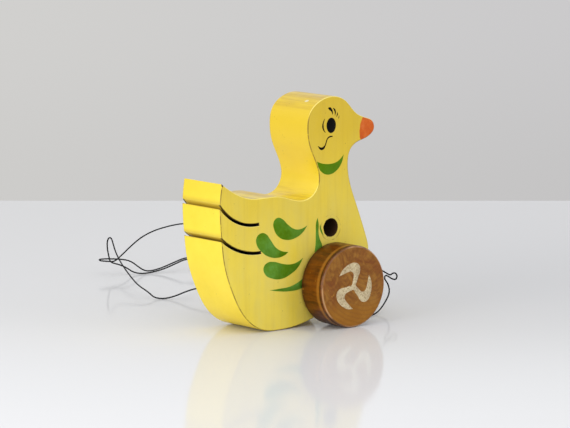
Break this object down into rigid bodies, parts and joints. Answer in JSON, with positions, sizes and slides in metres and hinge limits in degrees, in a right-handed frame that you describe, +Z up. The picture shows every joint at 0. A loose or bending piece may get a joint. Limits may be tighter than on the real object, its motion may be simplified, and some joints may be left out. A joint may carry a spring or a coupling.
{
  "type": "pull along toy",
  "caption": "Painted wooden duck sawn from one board, standing on a pair of stained wooden wheels and its rounded rear, with a thin waxed pull thread from its chest.",
  "frame": {"origin": "on the floor under the middle of the board's length and thickness", "axes": "+X towards the beak, the way the duck is pulled; +Y to the duck's left; +Z up"},
  "size_m": [0.1738, 0.2198, 0.1111],
  "materials": {
    "painted_wood": "brushed yellow enamel on wood, satin",
    "stained_wood": "amber stain and varnish, satin gloss",
    "bare_wood": "bare beech dowel, matte",
    "waxed_thread": "waxed black linen thread"
  },
  "bodies": {
    "duck": {"duck_body": "painted_wood", "stop_knot": "waxed_thread", "pull_cord": "waxed_thread", "end_knot": "waxed_thread"},
    "wheel_set": {"axle": "bare_wood", "right_wheel": "stained_wood", "left_wheel": "stained_wood"}
  },
  "joints": [
    {"name": "wheels_roll", "type": "hinge", "parent": "duck", "child": "wheel_set", "pos_m": [0.0204, 0, 0.02], "axis": [0, 1, 0], "continuous": true}
  ]
}
